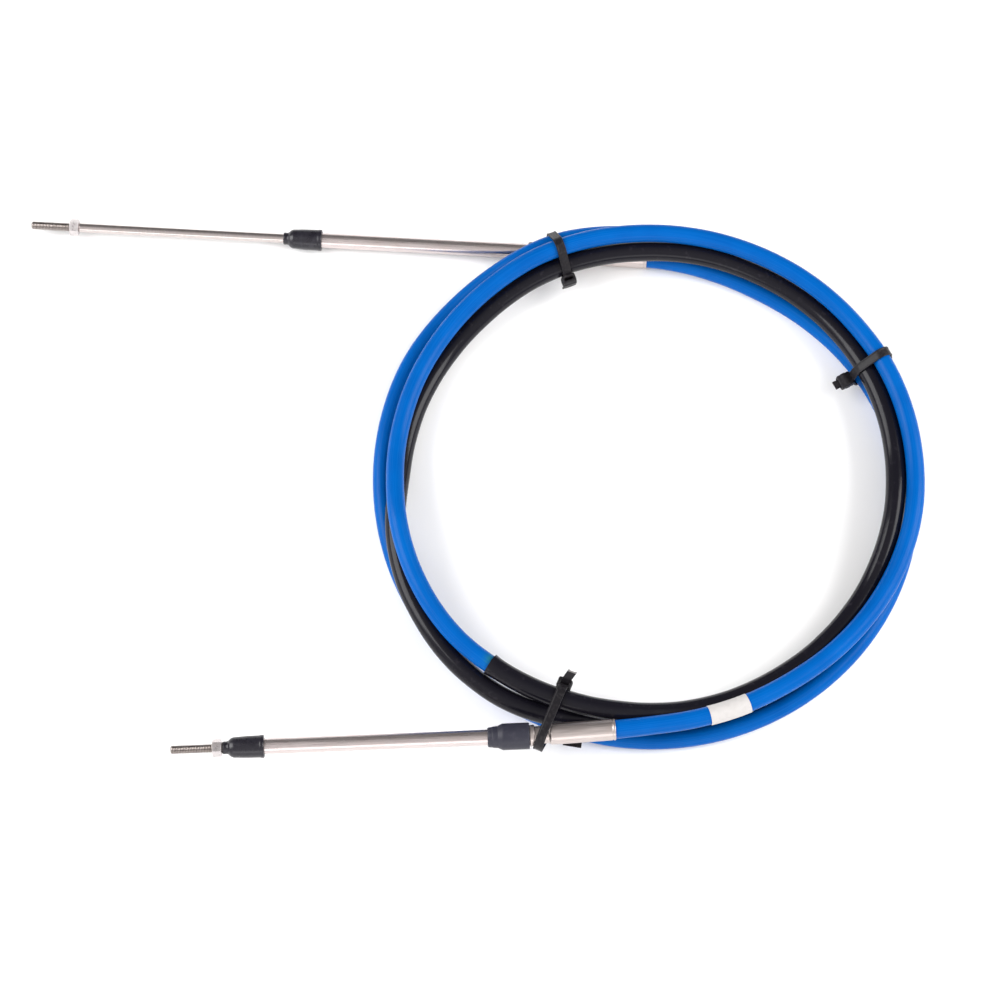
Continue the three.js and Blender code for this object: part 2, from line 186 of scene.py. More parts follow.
# %% Tubes along a line
def tube(line, radius, cols=32):
    """P(i, a) = line[i] + r (cos a down + sin a across). t is the line's direction, down the
    direction square to it that points to the floor, and across = t x down."""
    t = np.gradient(line, axis=0)
    t /= np.linalg.norm(t, axis=1, keepdims=True)
    side = np.cross(t, [0, 0, 1])
    side /= np.linalg.norm(side, axis=1, keepdims=True)
    down = np.cross(t, side)
    a = 2 * np.pi * np.arange(cols) / cols
    ring = np.cos(a)[None, :, None] * down[:, None] - np.sin(a)[None, :, None] * side[:, None]
    return line[:, None] + np.asarray(radius).reshape(len(line), -1, 1) * ring


# %% [markdown]
# ## The jacket
# The conduit's jacket is extruded plastic, so along its length it is almost perfectly even, with
# only the faintest swell where it cooled. It is a free cable, drawn with its
# true length and thickness. It starts at the mouth of the hub on top of the coil.

# %% Jacket
jacket_radius = 4.75 * mm
swell = 1 + 0.003 * np.sin(along / 0.021) + 0.002 * np.sin(along / 0.0083 + 1)
jacket = surface("cable_jacket", tube(route, jacket_radius * swell))
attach(jacket, "coil")
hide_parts("conduit")

# %% [markdown]
# ## The protective sleeve
# A thin black tube is pushed over the middle turns to guard them against chafing. Its cut end
# opens a little, like a trumpet, and shows the wall. It is a ring in section: out along the
# outside and back along the inside, so both cut ends are closed.

# %% Sleeve
sleeve_from, sleeve_to = 591.1, 1140.2
sleeve_radius, sleeve_bore = 5.4 * mm, 4.82 * mm
sleeved = (turn >= sleeve_from) & (turn <= sleeve_to)
sleeve_line, sleeve_s = route[sleeved], along[sleeved]
from_cut = np.minimum(sleeve_s - sleeve_s[0], sleeve_s[-1] - sleeve_s)
flare = 0.45 * mm * np.exp(-from_cut / (2.5 * mm))
ripple = 0.05 * mm * np.sin(sleeve_s / 0.0173) * np.sin(sleeve_s / 0.0049)
outside = tube(sleeve_line, sleeve_radius + flare + ripple)
inside = tube(sleeve_line, sleeve_bore + flare)
sleeve = surface("cable_sleeve", np.concatenate([outside, inside[::-1]]), loop=True)
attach(sleeve, "coil")
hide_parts("protective_sleeve")

# %% [markdown]
# ## The blank label
# A white film is wrapped once round the jacket near the hub on top of the pile, and its end lies
# over its own start. The overlap is a low step that runs along the cable, so the radius grows by
# one film's thickness over part of the way round.

# %% Label
label_from, label_to = 281.6, 291.5
labelled = (turn >= label_from) & (turn <= label_to)
film_in, film_out, film_step = 4.80 * mm, 4.98 * mm, 0.16 * mm
label_cols = 64
round_share = np.arange(label_cols) / label_cols
overlap = np.clip((round_share - 0.62) / 0.01, 0, 1) * np.clip((0.80 - round_share) / 0.03, 0, 1)
label_line = route[labelled]
label_out = tube(label_line, np.tile(film_out + film_step * overlap, (len(label_line), 1)),
                 label_cols)
label_in = tube(label_line, film_in * np.ones(len(label_line)), label_cols)
label = surface("label_wrap", np.concatenate([label_out, label_in[::-1]]), loop=True, sharp=25)
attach(label, "coil")
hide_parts("label_band")

# %% [markdown]
# ## Turned pieces
# Hubs, tubes, boots, seals and rods are all round about one axis, so each is a profile of
# [distance along, radius] carried round it. Real edges are never sharp, so every corner of a
# profile is rounded first.

# %% Profile helpers
def rounded(profile, radius, steps=5, loop=False):
    """Each corner B between A and C becomes the curve (1-u)^2 P + 2u(1-u) B + u^2 Q, where P and Q
    lie on BA and BC at the radius or 0.45 of the side, whichever is less."""
    b = np.array(profile, dtype=float)
    a, c = np.roll(b, 1, axis=0), np.roll(b, -1, axis=0)
    sides = [np.linalg.norm(x - b, axis=1, keepdims=True) + 1e-12 for x in (a, c)]
    p = b + (a - b) * np.minimum(radius / sides[0], 0.45)
    q = b + (c - b) * np.minimum(radius / sides[1], 0.45)
    u = np.linspace(0, 1, steps)[None, :, None]
    curve = (1 - u) ** 2 * p[:, None] + 2 * u * (1 - u) * b[:, None] + u * u * q[:, None]
    if loop:
        return curve.reshape(-1, 2)
    return np.concatenate([b[:1], curve[1:-1].reshape(-1, 2), b[-1:]])


def turned(origin, direction, profile, cols=64):
    """P(i, a) = origin + x_i d + r_i (cos a down + sin a across), in millimetres of profile. The
    radius may also be given for each angle, as a grid."""
    d = np.asarray(direction) / np.linalg.norm(direction)
    down = np.array([0, 0, -1.0])
    x = np.asarray(profile[0] if isinstance(profile, tuple) else np.array(profile)[:, 0])
    r = profile[1] if isinstance(profile, tuple) else np.array(profile)[:, 1]
    r = np.asarray(r).reshape(len(x), -1, 1)
    a = 2 * np.pi * np.arange(cols) / cols
    ring = np.cos(a)[:, None] * down + np.sin(a)[:, None] * np.cross(d, down)
    return np.asarray(origin) + mm * (x[:, None, None] * d + r * ring[None])


# %% Where the two ends lie
joints = {joint["name"]: joint for joint in frame["record"]["behaviour"]["joints"]}
ends = {}
for side, mouth in (("bottom", route[0]), ("top", route[-1])):
    pivot = np.array(joints[side + "_tube_swivel"]["pos_m"])
    reach_out = np.array(joints[side + "_rod_slide"]["axis"])
    ends[side] = {"mouth": mouth, "hub": pivot - mouth, "pivot": pivot, "out": reach_out}
    print(side, "pivot", np.round(pivot, 4).tolist(), "hub length", np.round(
        np.linalg.norm(pivot - mouth) / mm, 2), "mm")

# %% [markdown]
# ## Hubs
# A hub is a steel ferrule that is swaged onto the conduit. It keeps a thin rolled lip at its mouth
# with a fine groove behind it, a plain drawn body, and a waist before the flange that a mounting
# clamp grips. The mouth reaches a little over the jacket, so no gap shows.

# %% Hubs
hub_radius = 5.4
hub_profile = rounded([
    [-0.8, 4.7], [-0.8, 5.45], [0.25, 5.45], [0.3, 5.18], [0.75, 5.18], [0.8, hub_radius],
    [31.9, hub_radius], [33.0, 4.5], [39.9, 4.5], [40.3, hub_radius], [42.7, hub_radius],
    [43.5, 1.5], [43.5, 0.6],
], 0.35)
for side, end in ends.items():
    end["hub_piece"] = surface(side + "_hub_dressed",
                               turned(end["mouth"], end["hub"], hub_profile, 96))
    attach(end["hub_piece"], "coil")
    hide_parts(side + "_hub")

# %% [markdown]
# ## Support tubes
# The support tube swivels in the hub's tip and guides the rod. It is drawn stainless tube with
# both ends turned round, so it is one ring of wall: out along the outside, back along the bore.

# %% Support tubes
tube_radius, tube_length = 4.0, 147
tube_wall = rounded([[0.1, 2.9], [0.1, tube_radius], [tube_length, tube_radius],
                     [tube_length, 2.8]], 0.4, loop=True)
for side, end in ends.items():
    piece = surface(side + "_tube_dressed", turned(end["pivot"], end["out"], tube_wall, 96),
                    loop=True)
    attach(piece, side + "_tube")
    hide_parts(side + "_support_tube")
    end["tube_piece"] = piece

# %% [markdown]
# ## Boots and seals
# Both are moulded black rubber. The boot covers the swivel: a plain cup whose thin lip
# reaches over the hub's flange, and a ribbed neck that grips the tube. The seal on the tube's outer
# end is a slightly conical plug with a rolled lip, and its narrow nose wipes the rod clean.

# %% Boots
boot_profile = rounded([
    [-1, 6.05], [-1, 6.6], [-0.6, 6.75], [12.6, 6.75], [14.0, 6.1], [14.6, 5.85], [15.0, 5.55],
    [15.4, 5.6], [17.6, 5.35], [18.0, 5.1], [18.4, 5.2], [19.8, 4.95], [20.2, 4.6], [20.2, 4.15],
    [0.5, 4.25], [0.2, 6.0],
], 0.4, loop=True)
for side, end in ends.items():
    piece = surface(side + "_boot_dressed", turned(end["pivot"], end["out"], boot_profile),
                    loop=True)
    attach(piece, side + "_tube")
    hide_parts(side + "_boot")
    end["boot_piece"] = piece

# %% Seals
seal_at = 133
seal_profile = rounded([
    [0, 4.15], [0, 5.6], [0.5, 5.9], [1.6, 5.9], [2.2, 5.7], [9, 5.6], [15.6, 5.25],
    [17.2, 4.6], [18.2, 3.45], [19.2, 3.2], [20.4, 3.35], [21.0, 3.1], [21.0, 2.65],
    [16, 2.65], [16, 4.15],
], 0.6, loop=True) + [seal_at, 0]
for side, end in ends.items():
    piece = surface(side + "_seal_dressed", turned(end["pivot"], end["out"], seal_profile),
                    loop=True)
    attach(piece, side + "_tube")
    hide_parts(side + "_seal")
    end["seal_piece"] = piece

# %% [markdown]
# ## Threaded rods
# The rod is ground round where the seal wipes it, and its last 26 mm carry a rolled thread. A
# thread is a groove whose depth depends on both parameters at once: going once round the rod
# moves it on by one pitch. That makes it a single surface, with no cutting and no repeated part.

# %% Rods
pitch, thread_length, root, crest = 0.8, 26.0, 2.0, 2.4
cols = 48


def thread(x, a):
    """r = root + (crest - root) clip(1.6 |2 f - 1| - 0.3, 0, 1), with f the fraction of
    x / pitch - a / 2 pi. The groove fades out at the shoulder and the tip is turned down."""
    f = (x / pitch - a / (2 * np.pi)) % 1
    groove = root + (crest - root) * np.clip(1.6 * np.abs(2 * f - 1) - 0.3, 0, 1)
    fade = np.clip((x - 0.3) / 0.8, 0, 1)
    tip = np.clip(1.75 + (thread_length - x) * 0.85, 0, crest)
    return np.minimum(crest + (groove - crest) * fade, tip)


angle = 2 * np.pi * np.arange(cols) / cols
thread_x = np.linspace(0.1, thread_length, int(thread_length / pitch * 12))
shank_x = np.array([-128, -127.7, -127.5, -100, -60, -30, -10, -1, -0.35, -0.15])
shank_r = np.array([2.1, 2.4, 2.5, 2.5, 2.5, 2.5, 2.5, 2.5, 2.5, 2.42])
rod_x = np.concatenate([shank_x, thread_x])
rod_r = np.concatenate([np.tile(shank_r[:, None], (1, cols)),
                        thread(thread_x[:, None], angle[None, :])])
stroke, shoulder_at = 112, 154.3
for side, end in ends.items():
    out_by = shoulder_at + (stroke if side == "top" else 0)
    end["shoulder"] = end["pivot"] + mm * out_by * end["out"]
    piece = surface(side + "_rod_dressed",
                    turned(end["shoulder"], end["out"], (rod_x, rod_r), cols), sharp=50)
    # the thread gets a brownish grime all over, and painted shade makes its grooves darker still
    grime_and_groove_shade = np.clip((crest + 0.02 - rod_r) / (crest - root), 0.5, 1) * (rod_x[:, None] > 0)
    piece.data.attributes.new("grime_and_groove_shade", "FLOAT", "POINT").data.foreach_set("value", grime_and_groove_shade.ravel())
    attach(piece, side + "_rod_end")
    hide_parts(side + "_rod")
    end["rod_piece"] = piece

# %% [markdown]
# ## Jam nuts
# A nut is a hexagonal prism whose corners are turned off by a cone at each face. Both forms are
# just radii as functions of the angle, so the nut is the smaller of the two at every point, and
# the curved edges of the chamfer come out by themselves.

# %% Nuts
across, nut_length = 8.0, 5.0


def nut_grid(turned_by):
    """r(x, a) = min(across / 2 / cos(a mod 60 - 30), 3.75 + 1.73 x from the nearer face)."""
    a = 2 * np.pi * np.arange(144) / 144
    wedge = (np.degrees(a) - turned_by) % 60 - 30
    flat = across / 2 / np.cos(np.radians(wedge))
    x = np.concatenate([[0], np.linspace(0.02, 0.55, 9), [1.4, 2.5, 3.6],
                        nut_length - np.linspace(0.55, 0.02, 9), [nut_length]])
    cone = 3.75 + 1.73 * np.minimum(x, nut_length - x)
    outer = np.minimum(flat[None, :], cone[:, None])
    bore_x = np.array([nut_length, nut_length - 0.35, 0.35, 0])
    bore_r = np.array([2.95, 2.55, 2.55, 2.95])[:, None] * np.ones((1, len(a)))
    return np.concatenate([x, bore_x]), np.concatenate([outer, bore_r])


# an angle of 180 is straight up here and more than 180 leans to the back of the coil
for side, corner in (("top", 12), ("bottom", 26)):
    end = ends[side]
    piece = surface(side + "_nut_dressed",
                    turned(end["shoulder"], end["out"], nut_grid(corner), 144),
                    loop=True, sharp=20)
    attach(piece, side + "_rod_end")
    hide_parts(side + "_nut")
    end["nut_piece"] = piece

# %% [markdown]
# ## Cable ties
# A nylon tie pulls its strap as tight as it goes, so the strap follows the convex outline of the
# strands that it holds. For a direction n, the outline's point is c + (r + gap) n on the strand
# whose c . n + r is largest. The strap is a small rounded bar with a shallow channel, carried
# along that outline.

# %% Straps
strap_gap, strap_thick, strap_half = 0.15, 1.2, 2.4
strap_bar = rounded([
    [-0.6, -strap_half], [0.6, -strap_half], [0.6, -1.75], [0.44, -1.55], [0.44, 1.55],
    [0.6, 1.75], [0.6, strap_half], [-0.6, strap_half],
], 0.3, steps=4, loop=True)


def strands_at(degrees):
    """[distance from the coil's axis, height, radius] of each strand that passes an angle."""
    passes = np.arange(np.ceil((turn[0] - degrees) / 360), (turn[-1] - degrees) / 360) * 360
    at = degrees + passes
    inside_sleeve = (at > sleeve_from) & (at < sleeve_to)
    return np.stack([np.interp(at, turn, reach), np.interp(at, turn, height),
                     np.where(inside_sleeve, sleeve_radius, jacket_radius) / mm], axis=1)


def section_frame(degrees):
    """The radial, upward and sideways directions of the coil's section at an angle."""
    c, s = np.cos(np.radians(degrees)), np.sin(np.radians(degrees))
    return np.array([c, s, 0]), np.array([0, 0, 1.0]), np.array([-s, c, 0])


def in_section(degrees, points):
    """Section points [distance, height, sideways] in millimetres, as places in metres."""
    out, up, side = section_frame(degrees)
    points = np.asarray(points)
    return coil_axis + mm * (
        points[..., :1] * out + points[..., 1:2] * up + points[..., 2:] * side)


def strap(name, degrees, circles, steps=240):
    """P(i, j) = c + (r + gap + half) n_i + a_j n_i + b_j sideways, with (a, b) the bar."""
    a = 2 * np.pi * np.arange(steps) / steps
    n = np.stack([np.cos(a), np.sin(a)], axis=1)
    best = np.argmax(n @ circles[:, :2].T + circles[:, 2], axis=1)
    middle = circles[best, :2] + n * (circles[best, 2:] + strap_gap + strap_thick / 2)
    flat = middle[:, None] + n[:, None] * strap_bar[None, :, :1]
    wide = np.broadcast_to(strap_bar[None, :, 1:], flat.shape[:2] + (1,))
    piece = surface(name, in_section(degrees, np.concatenate([flat, wide], axis=2)), loop=True,
                    sharp=50)
    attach(piece, "coil")
    return piece


# %% [markdown]
# The head is a small moulded block with a slot through it for the strap. Both outlines are
# superellipses, which are circles pushed out towards a square: the block's outside runs up, turns
# over the rim and comes back down inside the slot, as one closed surface. The tail that is left
# after trimming has ratchet teeth on one face and a pale, clean cut at its end.

# %% Heads and tails
head_thin, head_wide, head_long = 2.5, 3.7, 3.75  # half sizes
slot_thin, slot_wide = 0.85, 2.6  # half sizes
tooth_high, tooth_pitch = 0.28, 1.1
head_cols = 48


def squircle(half_a, half_b, power):
    """(A sgn(cos) |cos|^(2/p), B sgn(sin) |sin|^(2/p)): nearer to a rectangle as p grows."""
    a = 2 * np.pi * (np.arange(head_cols) + 0.5) / head_cols
    c, s = np.cos(a), np.sin(a)
    return np.stack([half_a * np.sign(c) * np.abs(c) ** (2 / power),
                     half_b * np.sign(s) * np.abs(s) ** (2 / power)], axis=1)


def tie_head(name, centre, axis, thick, wide):
    """P(i, j) = centre + h_i axis + s_ij thick + t_ij wide: the block's outline from end to end
    with its rims drawn in, then the slot's outline back again."""
    rows = [(-head_long, 0.45), (-3.55, 0.15), (-3.2, 0), (-1.2, 0), (-1.0, -0.18),
            (1.0, -0.18), (1.2, 0), (3.2, 0), (3.55, 0.15), (head_long, 0.45)]
    outer = [np.column_stack([np.full(head_cols, h),
                              squircle(head_thin - inset, head_wide - inset, 7)])
             for h, inset in rows]
    inner = [np.column_stack([np.full(head_cols, h), squircle(slot_thin + w, slot_wide + w, 9)])
             for h, w in ((head_long, 0.35), (3.4, 0), (-3.4, 0), (-head_long, 0.35))]
    p = np.array(outer + inner)
    grid = np.asarray(centre) + mm * (p[..., :1] * axis + p[..., 1:2] * thick + p[..., 2:] * wide)
    piece = surface(name, grid, loop=True, sharp=45)
    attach(piece, "coil")
    return piece


def tie_tail(name, start, axis, thick, wide, length, lean=(0, 0), steps=96):
    """P(h, j) = start + h axis + (h/L)^2 lean + a_j thick + b_j wide. On one face a_j drops by a
    saw along h, which makes the ratchet teeth."""
    h = np.linspace(0, length, steps)
    bar = strap_bar[None, :, :] * np.array([0.9, 0.96])
    teeth = tooth_high * ((h / tooth_pitch) % 1)[:, None] * (strap_bar[None, :, 0] > 0.4) * (
        np.abs(strap_bar[None, :, 1]) < 1.7)
    bend = (h / length) ** 2
    grid = (np.asarray(start) + mm * (
        h[:, None, None] * axis + (bend * lean[0])[:, None, None] * thick
        + (bend * lean[1])[:, None, None] * wide
        + (bar[..., 0] - teeth)[..., None] * thick + bar[..., 1:] * wide))
    piece = surface(name, grid, sharp=30)
    cut = np.zeros((steps, len(strap_bar)))
    cut[-1] = 1
    piece.data.attributes.new("cut", "FLOAT", "POINT").data.foreach_set("value", cut.ravel())
    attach(piece, "coil")
    return piece


# %% The three ties
hub = ends["bottom"]["hub"] / np.linalg.norm(ends["bottom"]["hub"])
hub_mouth = (ends["bottom"]["mouth"] - coil_axis) / mm
nylon_pieces = []
spread = 1.0  # degrees: about half a strap's width, seen from the coil's axis


def tied(degrees, from_height=0, extra=()):
    """The strands within half a strap's width of an angle, and any other circles to hold."""
    found = np.concatenate([strands_at(degrees + k) for k in (-spread, 0, spread)])
    return np.concatenate([found[found[:, 1] > from_height], np.reshape(extra, (-1, 3))])


def hub_circle(degrees, sideways):
    """Where the hub's axis crosses the section plane moved sideways, as [distance, height, r]."""
    out, _, side = section_frame(degrees)
    along_hub = (sideways - hub_mouth @ side) / (hub @ side)
    crossing = hub_mouth + along_hub * hub
    return [crossing @ out, crossing[2], hub_radius / abs(hub @ side)]


top_angle, right_angle, bottom_angle = 110.5, 27, 248.5
top_hold = tied(top_angle, from_height=10)
bottom_hold = tied(bottom_angle, extra=[
    hub_circle(bottom_angle, k) for k in (-strap_half, 0, strap_half)])
right_hold = tied(right_angle)
# at the right tie the strap runs to a point at the head, as if round a thin rod there
right_near = (right_hold[:, 0] - right_hold[:, 2]).min()
head_off, bend, right_head_at = 1.5, 0.6, 12
right_hold = np.concatenate([right_hold, [[right_near - head_off, right_head_at, bend]]])
for name, degrees, hold in (("top_tie", top_angle, top_hold),
                            ("right_tie", right_angle, right_hold),
                            ("bottom_tie", bottom_angle, bottom_hold)):
    piece = strap(name + "_strap", degrees, hold)
    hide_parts(name)
    nylon_pieces.append(piece)

# each row: the head's height, whether the tail points up or down, its length and its lean
tail_from = 1.5
for name, degrees, hold, head_at, up, length, lean in (
        ("top_tie", top_angle, top_hold, 17, -1, 8.0, (-0.5, -1)),
        ("bottom_tie", bottom_angle, bottom_hold, 21, 1, 7.5, (5.5, 2.0))):
    out, upward, side = section_frame(degrees)
    inner = (hold[:, 0] - hold[:, 2]).min() - strap_gap - strap_thick
    middle = inner + strap_thick / 2 - head_thin
    nylon_pieces.append(tie_head(name + "_head", in_section(degrees, [middle, head_at, 0]),
                                 upward, -out, side))
    nylon_pieces.append(tie_tail(
        name + "_tail", in_section(degrees, [middle, head_at + up * tail_from, 0]),
        up * upward, -out, up * side, length, lean=lean))
out, upward, side = section_frame(right_angle)
inner = right_near - head_off - bend - strap_gap - strap_thick
middle = inner + strap_thick - head_long
nylon_pieces.append(tie_head("right_tie_head", in_section(right_angle, [middle, right_head_at, 0]),
                             -out, upward, side))
right_tail_in, right_tail_length = 5, 5.5
nylon_pieces.append(tie_tail(
    "right_tie_tail",
    in_section(right_angle, [inner + strap_thick - right_tail_in, right_head_at, 0]),
    -out, upward, -side, right_tail_length))

# the spare end of the bottom tie also looks out from under the hub, towards the right
spare_start, spare_length = np.array([49.5, -141.2, 17.2]) * mm, 9.5
spare_way = np.array([12.8, -1.9, -1.0])
spare_way /= np.linalg.norm(spare_way)
spare_wide = np.cross([0, 0, 1], spare_way)
spare_wide /= np.linalg.norm(spare_wide)
nylon_pieces.append(tie_tail("bottom_tie_spare", spare_start, spare_way,
                             np.cross(spare_way, spare_wide), spare_wide, spare_length))

# %% [markdown]
# ## The cable and what goes with it
# The jacket is the free cable. What sits on it goes with it: the sleeve, the label and the two
# hubs. It starts at the mouth of the hub on top of the pile and ends in the one beneath it.

# %% [markdown]
# ## Finishes
# Every finish is one Principled shader with its colour, roughness and bump worked out from nodes.
# Marks that follow a piece, such as drawing lines along a tube, read its surface UV: the first
# number is the distance along it and the second the distance round it, both in metres. Dust and
# grain, which follow nothing, read Object coordinates.

# %% Node helpers
def finish_of(name, color, metallic=0.0, **sockets):
    """A new material, its node tree and its Principled shader with the constant values set."""
    material = bpy.data.materials.new(name)
    material.use_nodes = True
    shader = material.node_tree.nodes["Principled BSDF"]
    shader.inputs["Base Color"].default_value = (*color, 1)
    shader.inputs["Metallic"].default_value = metallic
    for key, value in sockets.items():
        shader.inputs[key.replace("_", " ").title().replace("Ior", "IOR")].default_value = value
    return material, material.node_tree, shader


def node(tree, kind, inputs=(), **settings):
    """Adds a node, sets its properties, and for each (socket, value) links or sets that input."""
    made = tree.nodes.new(kind)
    for key, value in settings.items():
        setattr(made, key, value)
    for key, value in dict(inputs).items():
        if isinstance(value, bpy.types.NodeSocket):
            tree.links.new(value, made.inputs[key])
        else:
            made.inputs[key].default_value = value
    return made


def grain(tree, place, scale, detail=3, stretch=(1, 1, 1), rough=0.5):
    """Noise at a number of lumps per metre, stretched along the coordinate's own axes."""
    mapped = node(tree, "ShaderNodeMapping", {"Vector": place, "Scale": stretch})
    return node(tree, "ShaderNodeTexNoise", {
        "Vector": mapped.outputs["Vector"], "Scale": scale, "Detail": detail,
        "Roughness": rough}).outputs["Fac"]


def between(tree, value, low, high, to_low=0.0, to_high=1.0):
    """Maps a value from [low, high] to [to_low, to_high], clamped."""
    return node(tree, "ShaderNodeMapRange", {
        "Value": value, "From Min": low, "From Max": high, "To Min": to_low,
        "To Max": to_high}).outputs["Result"]


def blended(tree, factor, a, b):
    """Colour a where the factor is 0 and colour b where it is 1."""
    mix = node(tree, "ShaderNodeMix", data_type="RGBA")
    for socket, value in ((mix.inputs[0], factor), (mix.inputs[6], a), (mix.inputs[7], b)):
        if isinstance(value, bpy.types.NodeSocket):
            tree.links.new(value, socket)
        else:
            socket.default_value = (*value, 1) if isinstance(value, tuple) else value
    return mix.outputs[2]


def bumped(tree, shader, layers):
    """Chains bumps: each (height, strength, distance in metres) is laid over the one before."""
    normal = None
    for height_value, strength, depth in layers:
        made = node(tree, "ShaderNodeBump", {
            "Height": height_value, "Strength": strength, "Distance": depth})
        if normal:
            tree.links.new(normal, made.inputs["Normal"])
        normal = made.outputs["Normal"]
    tree.links.new(normal, shader.inputs["Normal"])


def places(tree):
    """The surface UV and the Object coordinates of a piece."""
    uv = node(tree, "ShaderNodeUVMap", uv_map="surface").outputs["UV"]
    return uv, node(tree, "ShaderNodeTexCoord").outputs["Object"]


# %% [markdown]
# ### Blue jacket and black sleeve
# Both are extruded, so the die leaves very fine lines along them and the gloss comes in long
# streaks. The jacket has picked up a teal smear where the sleeve's end rubs on it. The smear
# is a value stored on the mesh: a bell curve of the distance to the sleeve's end, on the side that
# faces up and inwards.

# %% Smear
cut_at = sleeve_s[0]
smear_before, smear_length, smear_facing = 1.2 * mm, 2.6 * mm, 160
near_cut = np.exp(-((along - cut_at + smear_before) / smear_length) ** 2)
round_angle = 2 * np.pi * np.arange(32) / 32
facing = np.clip(np.cos(round_angle - np.radians(smear_facing)), 0, 1) ** 3
jacket.data.attributes.new("smear", "FLOAT", "POINT").data.foreach_set(
    "value", (near_cut[:, None] * facing[None, :]).ravel())
print(f"smear ends at {cut_at:.3f} m along the cable")

# %% Jacket and sleeve finishes
blue, tree, shader = finish_of("blue_jacket", (0.0, 0.09, 0.42), specular_ior_level=0.07)
uv, place = places(tree)
streaks = grain(tree, uv, 1, detail=4, stretch=(18, 1400, 1))
cloudy = grain(tree, place, 45, detail=2)
smear = node(tree, "ShaderNodeAttribute", attribute_name="smear").outputs["Fac"]
tone = blended(tree, between(tree, cloudy, 0.3, 0.7), (0.0, 0.078, 0.325), (0.0, 0.093, 0.37))
tone = blended(tree, between(tree, streaks, 0.45, 0.75, 0, 0.25), tone, (0.0, 0.106, 0.40))
rubbed = node(tree, "ShaderNodeMath", {0: smear, 1: between(tree, streaks, 0.35, 0.6, 0.25, 1)},
              operation="MULTIPLY").outputs["Value"]
tone = blended(tree, rubbed, tone, (0.015, 0.13, 0.15))
tree.links.new(tone, shader.inputs["Base Color"])
tree.links.new(between(tree, streaks, 0.3, 0.7, 0.22, 0.32), shader.inputs["Roughness"])
bumped(tree, shader, [(streaks, 0.12, 0.00005), (grain(tree, place, 900), 0.05, 0.00005)])

black, tree, shader = finish_of("black_sleeve", (0.006, 0.0055, 0.009), specular_ior_level=0.19)
uv, place = places(tree)
streaks = grain(tree, uv, 1, detail=4, stretch=(22, 1100, 1))
waves = grain(tree, uv, 1, detail=2, stretch=(70, 25, 1))
scuffs = grain(tree, place, 260, detail=5, rough=0.65)
tone = blended(tree, between(tree, scuffs, 0.58, 0.76), (0.006, 0.0055, 0.009),
               (0.020, 0.018, 0.024))
tree.links.new(tone, shader.inputs["Base Color"])
tree.links.new(between(tree, streaks, 0.3, 0.7, 0.14, 0.24), shader.inputs["Roughness"])
bumped(tree, shader, [(waves, 0.25, 0.0006), (streaks, 0.15, 0.00005)])

# %% [markdown]
# ### Blank white film
# The film is matt, with faint creases and a little grime. The creases follow the surface UV and
# the grime follows nothing.

# %% Label finish
film, tree, shader = finish_of("white_film", (0.50, 0.48, 0.47), roughness=0.5)
uv, place = places(tree)
creases = grain(tree, uv, 1, detail=3, stretch=(900, 60, 1))
grime = grain(tree, place, 400, detail=4)
tone = blended(tree, between(tree, grime, 0.45, 0.8, 0, 0.5), (0.50, 0.48, 0.47),
               (0.42, 0.40, 0.39))
tree.links.new(tone, shader.inputs["Base Color"])
bumped(tree, shader, [(creases, 0.2, 0.0001)])

# %% [markdown]
# ### Steel
# Drawn tube and swaged hubs have fine lines along them, and turned faces have rings round them.
# On a rod the seal leaves it smooth and bright. A value stored on the mesh darkens its thread:
# grime over all of it, and painted shade that makes the grooves darker still. One maker of finishes
# gives them all: only the colour, the stretch of the noise and the roughness differ.

# %% Steel finishes
def steel(name, color, stretch, low, high, depth):
    """Metal whose roughness and height follow noise stretched along or round the piece."""
    material, tree, shader = finish_of(name, color, metallic=1.0)
    uv, place = places(tree)
    marks = grain(tree, uv, 1, detail=5, stretch=stretch, rough=0.6)
    tarnish = grain(tree, place, 120, detail=3)
    deep = tuple(c * 0.80 for c in color)
    tone = blended(tree, between(tree, marks, 0.35, 0.7), deep, color)
    tone = blended(tree, between(tree, tarnish, 0.5, 0.75, 0, 0.35), tone,
                   tuple(c * k for c, k in zip(color, (0.86, 0.80, 0.76))))
    # a rod's thread is blended towards dark brown: grime over all of it and painted shade in its
    # grooves
    grime_and_groove_shade = node(tree, "ShaderNodeAttribute", attribute_name="grime_and_groove_shade").outputs["Fac"]
    tone = blended(tree, between(tree, grime_and_groove_shade, 0, 1, 0, 0.75), tone, (0.13, 0.115, 0.10))
    tree.links.new(tone, shader.inputs["Base Color"])
    tree.links.new(between(tree, marks, 0.3, 0.7, low, high), shader.inputs["Roughness"])
    bumped(tree, shader, [(marks, 0.25, depth)])
    return material


drawn_steel = steel("drawn_steel", (0.66, 0.585, 0.575), (40, 2600, 1), 0.22, 0.36, 0.00004)
hub_steel = steel("swaged_steel", (0.58, 0.515, 0.495), (60, 3000, 1), 0.30, 0.46, 0.00006)
rod_steel = steel("ground_steel", (0.60, 0.54, 0.525), (1800, 160, 1), 0.16, 0.26, 0.00002)
nut_zinc = steel("bright_nut", (0.62, 0.58, 0.58), (260, 260, 1), 0.24, 0.34, 0.00001)

# %% [markdown]
# ### Rubber and nylon
# Both rubbers have a fine moulding grain and pale dust where they are handled. The boots are matt
# and bluish, and the seals are blacker and glossier. Nylon lies between them. A tail's cut end is
# pale, from the value stored on it.

# %% Rubber and nylon finishes
def rubber(name, dark, pale, low, high):
    """Moulded rubber between a dark and a dusty colour, its roughness following the dust."""
    material, tree, shader = finish_of(name, dark, specular_ior_level=0.4)
    place = places(tree)[1]
    dust = grain(tree, place, 300, detail=5, rough=0.7)
    fine = grain(tree, place, 2600, detail=2)
    tree.links.new(blended(tree, between(tree, dust, 0.5, 0.76), dark, pale),
                   shader.inputs["Base Color"])
    tree.links.new(between(tree, dust, 0.3, 0.7, low, high), shader.inputs["Roughness"])
    bumped(tree, shader, [(fine, 0.25, 0.00008)])
    return material


